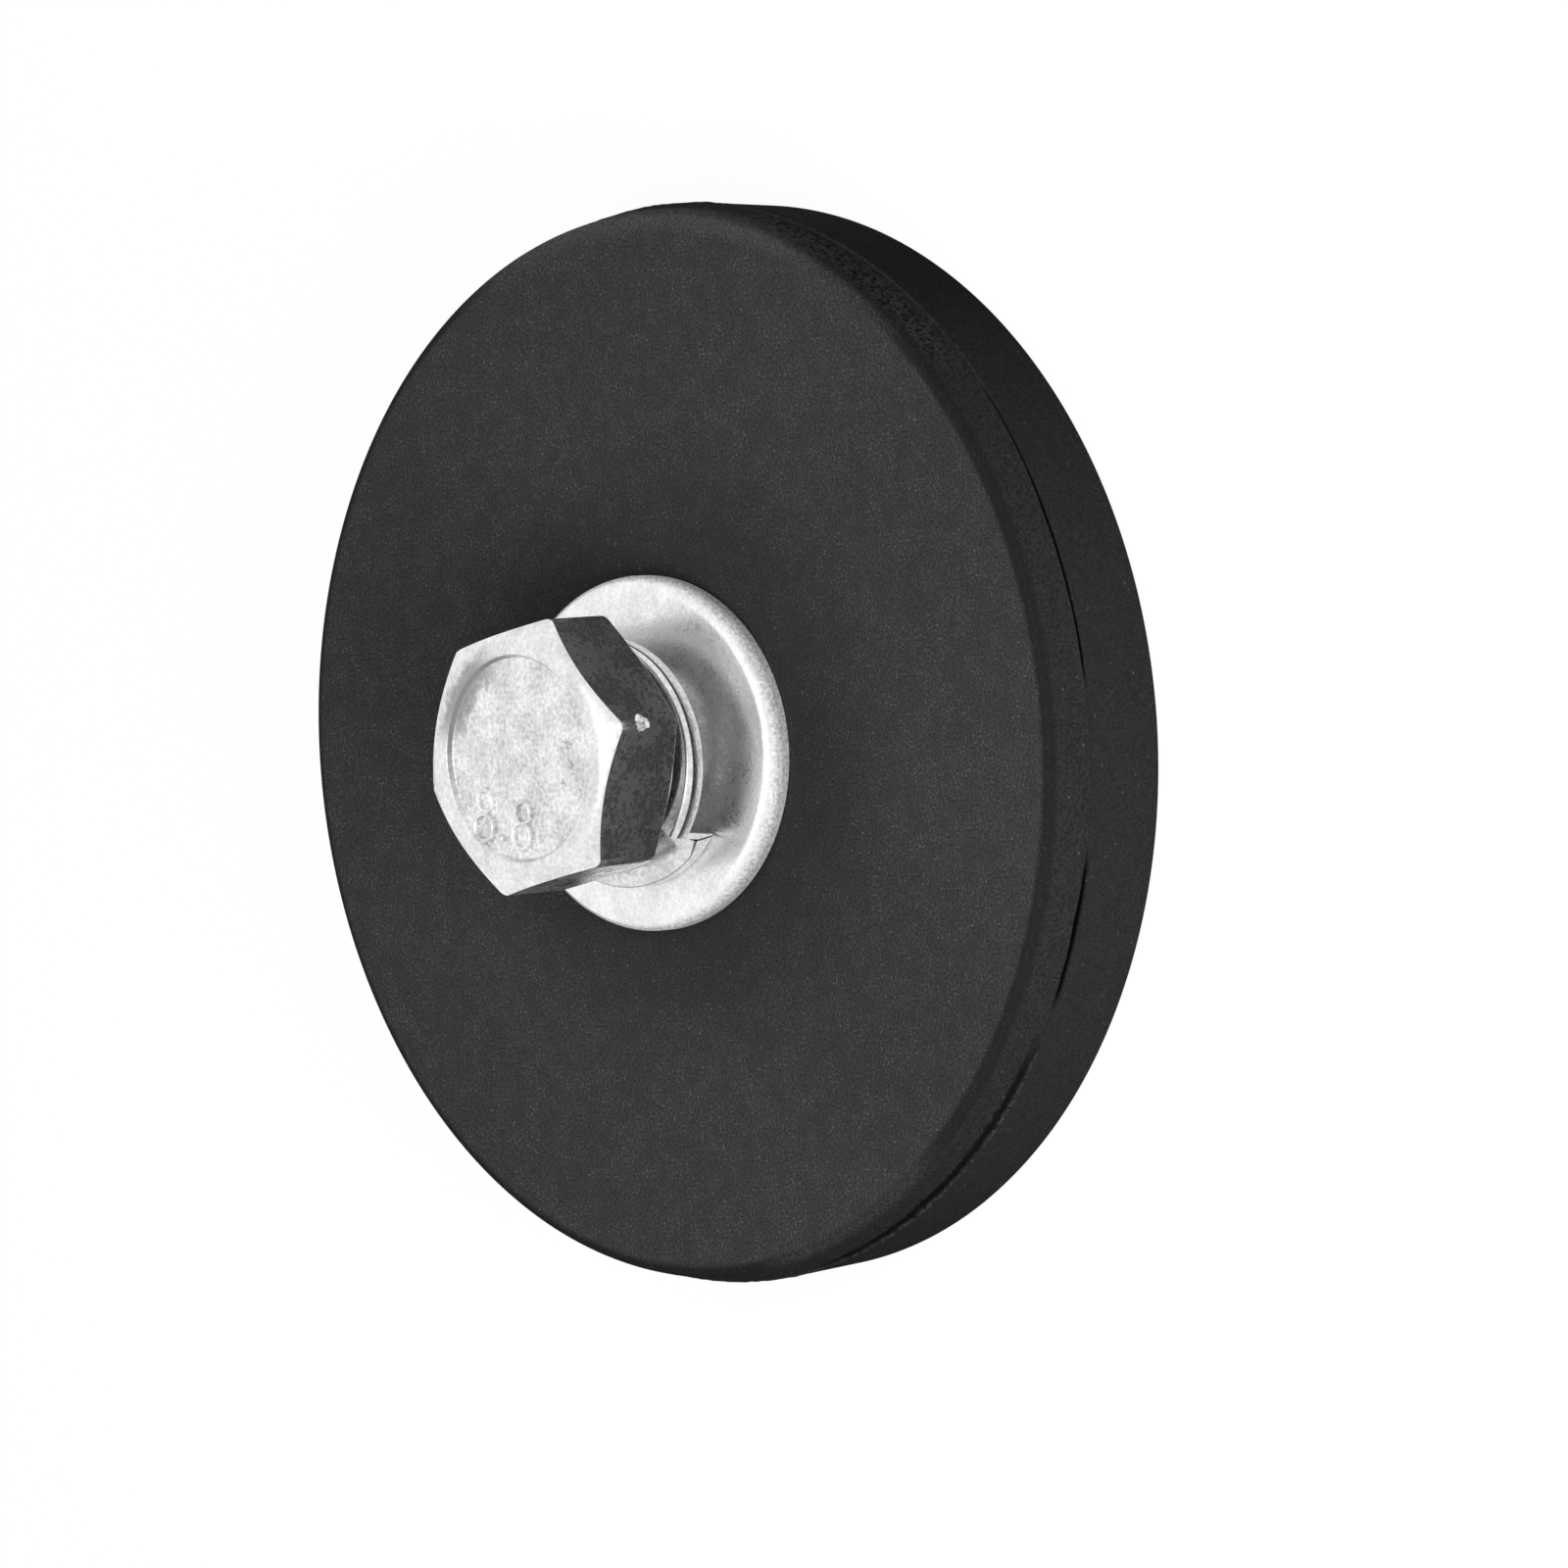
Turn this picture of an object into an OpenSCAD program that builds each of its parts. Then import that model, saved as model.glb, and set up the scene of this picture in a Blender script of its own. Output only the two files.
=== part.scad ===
// Magnetic mount: a ring of magnets under a steel plate, moulded into a rubber disc,
// with a threaded bush in its middle that takes a hex bolt and two washers.
// The magnet face lies on z = 0 and the bolt stands along +Z. Lengths are in millimetres.

/* [Rubber jacket] */
// Diameter of the disc at its magnet face
body_d = 43; // [36:0.5:66]
// Rubber between the magnets and the magnet face
skin_t = 0.7; // [0.4:0.05:1.5]
// Rubber over the steel plate
cover_t = 1.3; // [0.8:0.05:3]
// Rubber outside the rim of the steel plate
rim_wall = 1.8; // [1:0.1:4]
// Depth of the mould's parting line below the front face
seam_drop = 1.85; // [1:0.05:3]
// Swell of the rim's radius from the magnet face to the parting line
back_draft = 0.2; // [0:0.05:0.6]
// Loss of the rim's radius from the parting line to the front face
front_draft = 0.43; // [0:0.01:0.8]
// Width of the slit along the parting line
seam_w = 0.15; // [0.05:0.01:0.4]
// Depth of the slit along the parting line
seam_depth = 0.3; // [0.1:0.05:0.6]
// Rounding of the front edge
front_edge_r = 0.35; // [0.1:0.05:0.8]
// Rounding of the edge at the magnet face
back_edge_r = 0.3; // [0.1:0.05:0.8]

/* [Magnets and plate] */
// Diameter of one magnet
magnet_d = 8; // [5:0.5:10]
// Thickness of the magnets
magnet_t = 2.5; // [1.5:0.1:5]
// Least space between neighbouring magnets
magnet_space = 1; // [0.5:0.1:3]
// Plate left outside the magnets
magnet_margin = 1.2; // [0.3:0.1:3]
// Rounding of the magnets' edges
magnet_edge_r = 0.3; // [0.1:0.05:0.6]
// Thickness of the steel plate
plate_t = 1.5; // [0.8:0.1:3]
// Rounding of the plate's rim
plate_edge_r = 0.2; // [0.05:0.05:0.35]
// Play round the parts inside the rubber
mould_play = 0.05; // [0.02:0.01:0.2]

/* [Threaded bush] */
// Nominal diameter of the thread
thread_d = 6; // [5:0.5:8]
// Wall of the bush outside its thread
bush_wall = 1.5; // [1:0.1:3]
// Width of the flange that holds the bush under the plate
flange_w = 2; // [1:0.1:3]
// Steel left under the blind hole
bore_floor = 0.5; // [0.3:0.05:1]
// Bevel at the mouth of the thread
bore_bevel = 0.4; // [0.1:0.05:0.8]

/* [Hex bolt] */
// Head, across its flats
head_af = 10; // [9:0.1:13]
// Height of the head
head_h = 4.15; // [3:0.05:6]
// Trim of the head's corners, along the radius
corner_trim = 0.11; // [0.02:0.01:0.3]
// Distance from the flats to the circle where the top chamfer starts
chamfer_inset = 0.25; // [0.05:0.05:0.5]
// Slope of the top chamfer, in degrees
chamfer_slope = 30; // [15:1:40]
// Distance from the flats to the round bearing face
bearing_inset = 0.4; // [0.2:0.05:0.8]
// Height of the round bearing face
bearing_h = 0.35; // [0.1:0.05:0.6]
// Slope of the head's underside outside the bearing face, in degrees
under_slope = 17; // [5:1:25]
// Distance from the flats to the shallow round recess in the top
recess_inset = 1; // [0.6:0.05:2]
// Depth of that recess
recess_depth = 0.22; // [0.05:0.01:0.5]
// Slope of the recess's wall, across its depth
recess_flare = 0.12; // [0:0.01:0.3]
// Turn of the head about its axis, in degrees
head_turn = 40; // [0:1:60]
// Play of the shank in the thread, on the diameter
thread_play = 0.1; // [0.04:0.01:0.3]
// Space between the bolt's end and the floor of the blind hole
tip_space = 0.8; // [0.2:0.1:3]
// Bevel at the bolt's end
tip_bevel = 0.6; // [0.2:0.1:1]

/* [Flat washer] */
// Outer diameter
flat_d = 14.2; // [12.5:0.1:20]
// Thickness
flat_t = 0.95; // [0.8:0.05:3]
// Play of the hole on the thread, on the diameter
flat_play = 0.4; // [0.3:0.05:1]
// Height of the rim's wall, under the upper edge that the punch rolled over
flat_wall = 0.45; // [0.2:0.05:0.7]
// Slope of the rolled edge where it meets that wall, in degrees
flat_roll = 55; // [30:1:80]
// Rounding of the hole's upper edge
flat_hole_r = 0.3; // [0.1:0.05:0.4]

/* [Spring washer] */
// Width of its section, along the radius
spring_w = 1.52; // [1.2:0.01:3]
// Thickness of its section
spring_t = 0.9; // [0.8:0.05:2]
// Rounding of the section's edges
spring_edge_r = 0.18; // [0.05:0.01:0.3]
// Play of the hole on the thread, on the diameter
spring_play = 1; // [0.4:0.05:1.4]
// Height of one end over the other while the bolt isn't tightened
spring_rise = 1.58; // [1.1:0.01:2.5]
// Open angle between the two ends, in degrees
spring_gap = 1; // [0.5:0.5:20]
// Direction of the open angle about the axis, in degrees
spring_turn = 231; // [0:1:360]
// Slant of the cut between the ends, in degrees
spring_slant = 14; // [0:1:30]

/* [Loose washers] */
// Lean of both washers while the bolt isn't tightened, in degrees
lean = 6; // [0:0.5:7]
// Direction in which they rise, about the axis, in degrees
lean_turn = 94; // [0:1:360]
// Least space between the bolt and the holes of the washers that hang on it
hang_space = 0.02; // [0.01:0.01:0.1]
// Space between the spring washer's highest point and the bolt's head
head_space = 0.09; // [0:0.01:1]

/* [Hidden] */
$fn = 96;
corner_steps = 6;
spring_corner_steps = 3;
spring_steps = 90;
over = 1;

plate_z = skin_t + magnet_t;
body_t = plate_z + plate_t + cover_t;
back_r = body_d / 2;
seam_r = back_r + back_draft;
front_r = seam_r - front_draft;
seam_z = body_t - seam_drop;
plate_r = back_r - rim_wall;
magnet_r = magnet_d / 2;
ring_r = plate_r - magnet_margin - magnet_r;
// The count is even, because neighbouring magnets have opposite poles
magnet_count = 2 * floor(PI * ring_r / (magnet_d + magnet_space));
bore_r = thread_d / 2;
barrel_r = bore_r + bush_wall;
flange_r = barrel_r + flange_w;
bore_z = skin_t + bore_floor;
shank_r = (thread_d - thread_play) / 2;
flat_hole = (thread_d + flat_play) / 2;
flat_r = flat_d / 2;
roll_r = (flat_t - flat_wall) / (1 - cos(flat_roll));
spring_hole = (thread_d + spring_play) / 2;
spring_r = spring_hole + spring_w;
spring_h = spring_t + spring_rise;
slant_arc = atan(spring_t * tan(spring_slant) / (spring_hole + spring_w / 2));
lean_way = [cos(lean_turn), sin(lean_turn)];
flat_shift = shift(flat_hole, flat_t, flat_t / 2);
spring_shift = shift(spring_hole, spring_h, flat_t + spring_h / 2);
// The lowest point of the flat washer's foot touches the rubber
seat_z = body_t + (flat_r - flat_shift * lean_way) * sin(lean);
head_z = seat_z + max([for (i = [0 : spring_steps]) spring_top(i / spring_steps)]) + head_space;
tip_z = bore_z + tip_space;
flat_half = head_af / 2;
corner_r = head_af / sqrt(3) - corner_trim;

function magnet_name(i) = str("magnet_", i);

function unit(v) = v / norm(v);

// How far a leaning hole of some radius and height can sink along -X before it meets the bolt
function sink(hole, height) =
    let (
        play = hole * cos(lean) - shank_r - hang_space,
        swing = height / 2 * tan(lean)
    )
    sqrt(max(0, pow(play, 2) - pow(swing * lean_way.y, 2))) - swing * abs(lean_way.x);

// Place of a washer on its leaning seat: the middle of its hole is over the bolt's axis, but for that sinking
function shift(hole, height, middle) = middle * tan(lean) * lean_way - [sink(hole, height), 0];

// A turn brought between -180 and 180 degrees
function short_turn(a) = a > 180 ? a - 360 : a < -180 ? a + 360 : a;

// One corner [x, y, radius] of an outline between its neighbours a and b, as a point or an arc
function corner(a, p, b, steps) =
    p[2] == 0 ? [[p.x, p.y]] :
    let (
        tip = [p.x, p.y],
        to_a = unit([a.x, a.y] - tip),
        to_b = unit([b.x, b.y] - tip),
        half = acos(to_a * to_b) / 2,
        centre = tip + unit(to_a + to_b) * p[2] / sin(half),
        first = tip + to_a * p[2] / tan(half) - centre,
        last = tip + to_b * p[2] / tan(half) - centre,
        start = atan2(first.y, first.x),
        sweep = short_turn(atan2(last.y, last.x) - start)
    )
    [for (k = [0 : steps]) centre + p[2] * [cos(start + sweep * k / steps), sin(start + sweep * k / steps)]];

// An outline of corners [x, y, radius], with each corner rounded by its own radius
function rounded(path, steps = corner_steps) =
    let (n = len(path))
    [for (i = [0 : n - 1]) each corner(path[(i + n - 1) % n], path[i], path[(i + 1) % n], steps)];

// A solid of revolution whose section is an outline of corners [radius, height, rounding]
module turned(path) rotate_extrude() polygon(rounded(path));

module at_magnet(i) rotate([0, 0, 360 * (i - 1) / magnet_count]) translate([ring_r, 0, skin_t]) children();

// The moulded rubber, with the slit of the parting line round its rim and a seat for each part inside
module rubber_jacket() color("#3b3b3c") difference() {
    turned([
        [0, 0, 0],
        [back_r, 0, back_edge_r],
        [seam_r, seam_z - seam_w / 2, 0],
        [seam_r - seam_depth, seam_z, 0],
        [seam_r, seam_z + seam_w / 2, 0],
        [front_r, body_t, front_edge_r],
        [0, body_t, 0]
    ]);
    translate([0, 0, plate_z]) cylinder(h = plate_t, r = plate_r + mould_play);
    translate([0, 0, skin_t]) cylinder(h = magnet_t + plate_t / 2, r = flange_r + mould_play);
    translate([0, 0, plate_z]) cylinder(h = body_t, r = barrel_r + mould_play);
    for (i = [1 : magnet_count])
        at_magnet(i) cylinder(h = magnet_t + plate_t / 2, r = magnet_r + mould_play);
}

// The steel disc that closes the magnets' field and holds the bush
module back_plate() color("#9a9da1") translate([0, 0, plate_z]) turned([
    [barrel_r + mould_play, 0, 0],
    [plate_r, 0, plate_edge_r],
    [plate_r, plate_t, plate_edge_r],
    [barrel_r + mould_play, plate_t, 0]
]);

// The turned bush: its flange lies under the plate, its mouth is flush with the rubber
module threaded_bush() color("#a5a8ab") turned([
    [0, skin_t, 0],
    [flange_r, skin_t, 0],
    [flange_r, plate_z, 0],
    [barrel_r, plate_z, 0],
    [barrel_r, body_t, 0],
    [bore_r + bore_bevel, body_t, 0],
    [bore_r, body_t - bore_bevel, 0],
    [bore_r, bore_z, 0],
    [0, bore_z, 0]
]);

module magnet(i) color(i % 2 == 0 ? "#b4b8bd" : "#c3c6ca") at_magnet(i) turned([
    [0, 0, 0],
    [magnet_r, 0, magnet_edge_r],
    [magnet_r, magnet_t, magnet_edge_r],
    [0, magnet_t, 0]
]);

// Lays a washer on the leaning seat over the rubber's front face
module leaning(shift)
    translate([0, 0, seat_z])
    rotate([0, 0, lean_turn]) rotate([0, -lean, 0]) rotate([0, 0, -lean_turn])
    translate([shift.x, shift.y, 0]) children();

// Points of the flat washer's rolled upper edge, from its wall to its top
function rolled_edge() = [
    for (k = [0 : corner_steps])
    let (slope = flat_roll * (1 - k / corner_steps))
    [flat_r + roll_r * (sin(slope) - sin(flat_roll)), flat_t + roll_r * (cos(slope) - 1), 0]
];

// The punched washer, with its rolled edge up
module flat_washer() color("#d3d4d4") leaning(flat_shift) turned(concat(
    [[flat_hole, 0, 0], [flat_r, 0, 0]],
    rolled_edge(),
    [[flat_hole, flat_t, flat_hole_r]]
));

// Turn and height of the spring washer at a share of its length. It climbs least near its ends.
function spring_angle(share) = spring_turn - spring_gap / 2 - (360 - spring_gap) * share;
function spring_lift(share) = spring_rise * (share - sin(360 * share) / (2 * PI));

// Height of the spring washer's top over the seat's middle, at the higher of its two edges
function spring_top(share) =
    let (slant = cos(spring_angle(share) - lean_turn))
    (flat_t + spring_t + spring_lift(share)) * cos(lean)
    + (spring_shift * lean_way + max(spring_hole * slant, spring_r * slant)) * sin(lean);

// The split washer: one left-hand turn of a rounded bar, cut on a slant
module spring_washer() color("#cfd0d1") leaning(spring_shift) {
    section = rounded([
        [spring_hole, 0, spring_edge_r],
        [spring_r, 0, spring_edge_r],
        [spring_r, spring_t, spring_edge_r],
        [spring_hole, spring_t, spring_edge_r]
    ], spring_corner_steps);
    sides = len(section);
    points = [
        for (i = [0 : spring_steps], p = section)
        let (turn = spring_angle(i / spring_steps) + slant_arc * (0.5 - p.y / spring_t))
        [p.x * cos(turn), p.x * sin(turn), flat_t + spring_lift(i / spring_steps) + p.y]
    ];
    walls = [
        for (i = [0 : spring_steps - 1], j = [0 : sides - 1])
        let (near = i * sides, far = near + sides, k = (j + 1) % sides)
        each [[near + j, near + k, far + j], [near + k, far + k, far + j]]
    ];
    low_end = [for (j = [sides - 1 : -1 : 0]) j];
    high_end = [for (j = [0 : sides - 1]) spring_steps * sides + j];
    polyhedron(points, concat(walls, [low_end, high_end]), convexity = 6);
}

// The head's turned envelope: bearing face, underside, trimmed corners and top chamfer
module head_envelope() turned([
    [0, 0, 0],
    [flat_half - bearing_inset, 0, 0],
    [flat_half - bearing_inset, bearing_h, 0],
    [corner_r, bearing_h + (corner_r - flat_half + bearing_inset) * tan(under_slope), 0],
    [corner_r, head_h - (corner_r - flat_half + chamfer_inset) * tan(chamfer_slope), 0],
    [flat_half - chamfer_inset, head_h, 0],
    [0, head_h, 0]
]);

// The hex bolt, with a shallow recess in its head and a plain shank as thick as its thread
module hex_bolt() color("#d9dadb") {
    translate([0, 0, head_z]) difference() {
        intersection() {
            head_envelope();
            rotate([0, 0, head_turn]) cylinder(h = head_h, r = head_af / sqrt(3), $fn = 6);
        }
        translate([0, 0, head_h - recess_depth]) cylinder(
            h = recess_depth + over,
            r1 = flat_half - recess_inset - recess_flare,
            r2 = flat_half - recess_inset + recess_flare * over / recess_depth
        );
    }
    turned([
        [0, tip_z, 0],
        [shank_r - tip_bevel, tip_z, 0],
        [shank_r, tip_z + tip_bevel, 0],
        [shank_r, head_z + bearing_h, 0],
        [0, head_z + bearing_h, 0]
    ]);
}

rubber_jacket();
back_plate();
threaded_bush();
flat_washer();
spring_washer();
hex_bolt();
for (i = [1 : magnet_count]) {
    magnet(i);
}
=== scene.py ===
# %% [markdown]
# # A rubber-coated magnetic mount
# The real object is a flat rubber disc with ten magnets moulded into it. A hex bolt, a split
# spring washer and a flat washer stand on its front face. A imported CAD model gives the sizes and
# the places. This lesson loads that model, models finer copies of the four pieces that can be
# seen, and gives every piece a finish that is made of shader nodes alone.

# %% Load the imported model
import math

import bmesh
import bpy
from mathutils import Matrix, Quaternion, Vector, noise


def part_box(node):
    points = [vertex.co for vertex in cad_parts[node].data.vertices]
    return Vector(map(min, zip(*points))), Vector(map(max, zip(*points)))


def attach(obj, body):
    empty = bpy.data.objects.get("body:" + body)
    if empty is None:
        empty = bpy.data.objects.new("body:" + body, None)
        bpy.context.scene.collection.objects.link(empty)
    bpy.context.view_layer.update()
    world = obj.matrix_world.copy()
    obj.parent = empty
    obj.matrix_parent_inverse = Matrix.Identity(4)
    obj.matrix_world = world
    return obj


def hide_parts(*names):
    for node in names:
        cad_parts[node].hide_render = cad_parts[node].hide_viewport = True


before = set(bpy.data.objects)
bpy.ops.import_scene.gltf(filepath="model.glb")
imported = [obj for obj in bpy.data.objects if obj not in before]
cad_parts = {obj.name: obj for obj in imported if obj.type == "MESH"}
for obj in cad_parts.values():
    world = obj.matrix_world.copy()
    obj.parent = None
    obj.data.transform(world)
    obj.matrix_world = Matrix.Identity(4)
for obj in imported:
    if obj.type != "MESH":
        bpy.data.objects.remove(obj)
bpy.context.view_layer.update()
bpy.ops.object.select_all(action="DESELECT")
MM = 0.001
print("CAD nodes:", len(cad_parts))

# %% [markdown]
# ## The camera
# The part lies on its magnet face, with the bolt pointing up. The photograph looks down on it
# with a long lens and is then turned by about 95 degrees, so that the bolt points left. A camera
# that is aimed first and rolled about its own line of sight afterwards gives the same picture.

# %% Camera
CAMERA_AIM = Vector((-1.803, -6.554, 6.0)) * MM
CAMERA_DISTANCE = 348.086 * MM
CAMERA_AZIMUTH = math.radians(-89.175)
CAMERA_ELEVATION = math.radians(44.089)
CAMERA_ROLL = math.radians(-94.954)
CAMERA_LENS = 202.5


def direction(azimuth, elevation):
    """A unit vector from an angle about Z and an angle above the floor, in radians."""
    level = math.cos(elevation)
    return Vector((level * math.cos(azimuth), level * math.sin(azimuth), math.sin(elevation)))


toward_camera = direction(CAMERA_AZIMUTH, CAMERA_ELEVATION)
aimed = toward_camera.to_track_quat("Z", "Y")
rolled = aimed @ Quaternion((0, 0, 1), CAMERA_ROLL)
bpy.ops.object.camera_add(
    location=CAMERA_AIM + CAMERA_DISTANCE * toward_camera, rotation=rolled.to_euler()
)
camera = bpy.context.object
camera.name = "photo_camera"
camera.data.lens = CAMERA_LENS
camera.data.clip_start = 0.01
bpy.context.scene.camera = camera
print("Camera at", [round(c / MM, 1) for c in camera.location], "mm")

# %% [markdown]
# ## Turned shapes
# The disc, the washer and most of the bolt are round, as if turned on a lathe. Each could be cut
# from a cylinder, but one drawn section that is spun about the axis gives every rounding its
# true place. The section grows from a plane that is merged to one point, which is extruded from
# corner to corner. Rounded corners are beveled vertices.

# %% Helpers that draw a section and spin it
ROUND_STEPS = 6
CLOSE = 0.0005 * MM


def pick(piece, kind, test):
    """In edit mode, selects only the vertices, edges or faces that pass the test."""
    bpy.ops.mesh.select_mode(type=kind)
    bpy.ops.mesh.select_all(action="DESELECT")
    sheet = bmesh.from_edit_mesh(piece.data)
    parts = {"VERT": sheet.verts, "EDGE": sheet.edges, "FACE": sheet.faces}[kind]
    chosen = [part for part in parts if test(part)]
    for part in chosen:
        part.select_set(True)
    bmesh.update_edit_mesh(piece.data)
    return len(chosen)


def section(name, corners):
    """Draws a closed section in the XZ plane. A corner is (radius, height, rounding) in mm."""
    bpy.ops.object.select_all(action="DESELECT")
    bpy.ops.mesh.primitive_plane_add(size=MM)
    piece = bpy.context.object
    piece.name = name
    piece.data.name = name
    bpy.ops.object.mode_set(mode="EDIT")
    bpy.ops.mesh.select_mode(type="VERT")
    bpy.ops.mesh.select_all(action="SELECT")
    bpy.ops.mesh.merge(type="CENTER")
    places = [Vector((radius, 0, height)) * MM for radius, height, _ in corners]
    bpy.ops.transform.translate(value=places[0])
    for here, there in zip(places, places[1:]):
        bpy.ops.mesh.extrude_vertices_move(TRANSFORM_OT_translate={"value": there - here})
    bpy.ops.mesh.select_all(action="SELECT")
    bpy.ops.mesh.edge_face_add()
    for place, (_, _, rounding) in zip(places, corners):
        if rounding:
            pick(piece, "VERT", lambda vertex: (vertex.co - place).length < CLOSE)
            bpy.ops.mesh.bevel(
                offset=rounding * MM, offset_type="OFFSET", segments=ROUND_STEPS, affect="VERTICES"
            )
    return piece


def apply_modifier(piece, modifier):
    """Applies one modifier with only its piece selected."""
    bpy.ops.object.select_all(action="DESELECT")
    piece.select_set(True)
    bpy.context.view_layer.objects.active = piece
    bpy.ops.object.modifier_apply(modifier=modifier.name)


def close_up():
    """In edit mode, merges doubled vertices and turns every face outwards."""
    bpy.ops.mesh.select_all(action="SELECT")
    bpy.ops.mesh.remove_doubles(threshold=CLOSE)
    bpy.ops.mesh.normals_make_consistent(inside=False)
    bpy.ops.object.mode_set(mode="OBJECT")


def turned(name, corners, steps):
    """A full turn of a section about the Z axis."""
    piece = section(name, corners)
    pick(piece, "FACE", lambda face: True)
    bpy.ops.mesh.delete(type="ONLY_FACE")
    if pick(piece, "EDGE", lambda edge: all(abs(v.co.x) < CLOSE for v in edge.verts)):
        bpy.ops.mesh.delete(type="EDGE")
    bpy.ops.object.mode_set(mode="OBJECT")
    lathe = piece.modifiers.new("lathe", "SCREW")
    lathe.angle = math.tau
    lathe.steps = steps
    lathe.render_steps = steps
    apply_modifier(piece, lathe)
    bpy.ops.object.mode_set(mode="EDIT")
    close_up()
    return piece


# %% [markdown]
# ## Joining and cutting
# Pockets and dents are easiest as solids of their own, which a Boolean modifier takes out of a
# piece. The tool is deleted once the modifier has been applied. What only sits in a piece, such as
# a raised number, is joined to its mesh as a closed shell.

# %% Helpers for modifiers
def combine(piece, tool, operation):
    """Unites a piece with a tool, cuts the tool out of it or keeps what they share."""
    boolean = piece.modifiers.new("combine", "BOOLEAN")
    boolean.object = tool
    boolean.operation = operation
    boolean.solver = "EXACT"
    apply_modifier(piece, boolean)
    bpy.data.objects.remove(tool)


def join(piece, other):
    """Makes another closed shell a part of a piece's mesh."""
    bpy.ops.object.select_all(action="DESELECT")
    other.select_set(True)
    piece.select_set(True)
    bpy.context.view_layer.objects.active = piece
    bpy.ops.object.join()


def count(piece):
    """Says how large a piece is, and whether its mesh is closed."""
    sheet = bmesh.new()
    sheet.from_mesh(piece.data)
    loose = sum(not edge.is_manifold for edge in sheet.edges)
    volume = sheet.calc_volume() / MM**3
    print(piece.name, len(sheet.faces), "faces,", loose, "open edges,", round(volume, 1), "mm3")
    sheet.free()


# %% [markdown]
# ## The rubber jacket
# The jacket is moulded round the magnets, their steel plate and the threaded bush, so its section
# has a hollow of that shape. Its rim tapers both ways from the parting line, where the two mould
# halves met. Rings of points lie close together near that line, because its lips get torn later.

# %% Jacket section and spin
JACKET_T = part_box("rubber_jacket")[1].z / MM
BACK_R = 21.5
SEAM_R = 21.7
SEAM_Z = 4.15
FRONT_R = 21.27
JACKET_STEPS = 960
BACK_RINGS = (
    0.7, 1.3, 1.9, 2.4, 2.6, 2.75, 2.9, 3.05, 3.2, 3.35, 3.5, 3.65, 3.78, 3.9, 4.0, 4.08, 4.13,
)
FRONT_RINGS = (4.17, 4.22, 4.3, 4.4, 4.52, 4.65, 4.8, 4.95, 5.1, 5.25, 5.42)
GROOVE_DEPTH = 0.3


def rim_radius(height):
    """The rim's radius at a height, in mm, as the mould made it."""
    if height < SEAM_Z:
        return BACK_R + (SEAM_R - BACK_R) * height / SEAM_Z
    return SEAM_R + (FRONT_R - SEAM_R) * (height - SEAM_Z) / (JACKET_T - SEAM_Z)


jacket_outline = [(0, 0, 0), (7, 0, 0), (14, 0, 0), (BACK_R, 0, 0.3)]
jacket_outline += [(rim_radius(height), height, 0) for height in BACK_RINGS]
jacket_outline += [(SEAM_R - GROOVE_DEPTH, SEAM_Z, 0)]
jacket_outline += [(rim_radius(height), height, 0) for height in FRONT_RINGS]
jacket_outline += [(FRONT_R, JACKET_T, 0.35)]
jacket_outline += [(radius, JACKET_T, 0) for radius in (20.7, 20.2, 18, 14.5, 11, 7.4, 4.55)]
jacket_outline += [(4.55, 4.75, 0), (19.75, 4.75, 0), (19.75, 3.15, 0)]
jacket_outline += [(6.55, 3.15, 0), (6.55, 0.65, 0), (0, 0.65, 0)]
jacket = turned("moulded_jacket", jacket_outline, JACKET_STEPS)
count(jacket)

# %% [markdown]
# Ten magnets lie in a ring under the plate, and each needs a pocket. One cylinder is modelled, a
# spin with duplicates sets the others round the axis, and one Boolean cuts them all.

# %% Magnet pockets
POCKET_R = 4.05
POCKET_FLOOR = 0.65
POCKET_TOP = 3.3
MAGNET_RING_R = 14.5
MAGNETS = 10

bpy.ops.object.select_all(action="DESELECT")
bpy.ops.mesh.primitive_cylinder_add(
    vertices=64,
    radius=POCKET_R * MM,
    depth=(POCKET_TOP - POCKET_FLOOR) * MM,
    location=(MAGNET_RING_R * MM, 0, (POCKET_TOP + POCKET_FLOOR) / 2 * MM),
)
pockets = bpy.context.object
bpy.ops.object.transform_apply(location=True, rotation=True, scale=True)
bpy.ops.object.mode_set(mode="EDIT")
bpy.ops.mesh.select_all(action="SELECT")
bpy.ops.mesh.spin(
    steps=MAGNETS - 1,
    dupli=True,
    angle=math.tau * (MAGNETS - 1) / MAGNETS,
    center=(0, 0, 0),
    axis=(0, 0, 1),
)
bpy.ops.object.mode_set(mode="OBJECT")
combine(jacket, pockets, "DIFFERENCE")
count(jacket)

# %% [markdown]
# The parting line is not a neat groove. In places the lips are shut to a hairline, in places the
# slit gapes, and along two arcs the front half sits a little deeper and leaves a torn ledge. These
# places are listed by their angle about the axis, and smooth noise moves the points near the line.
# A shallow nick below the line is one more such place.

# %% Torn parting line
SLIT_WIDTH = (
    (-180, 0.05), (-168, 0.08), (-150, 0.12), (-132, 0.1), (-124, 0.04), (-120, 0.17), (-112, 0.28),
    (-107, 0.2), (-103, 0.03), (-89, 0.03), (-85, 0.11), (-70, 0.13), (-57, 0.1), (-52, 0.03),
    (-30, 0.02), (-18, 0.05), (0, 0.03), (35, 0.09), (60, 0.02), (90, 0.02), (110, 0.12),
    (130, 0.03), (160, 0.08), (180, 0.05),
)
LEDGE_DEPTH = (
    (-180, 0.03), (-168, 0.08), (-150, 0.12), (-134, 0.08), (-122, 0.01), (-104, 0.0), (-55, 0.0),
    (-40, 0.04), (-18, 0.07), (0, 0.03), (60, 0.0), (130, 0.0), (150, 0.08), (180, 0.03),
)
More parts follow.
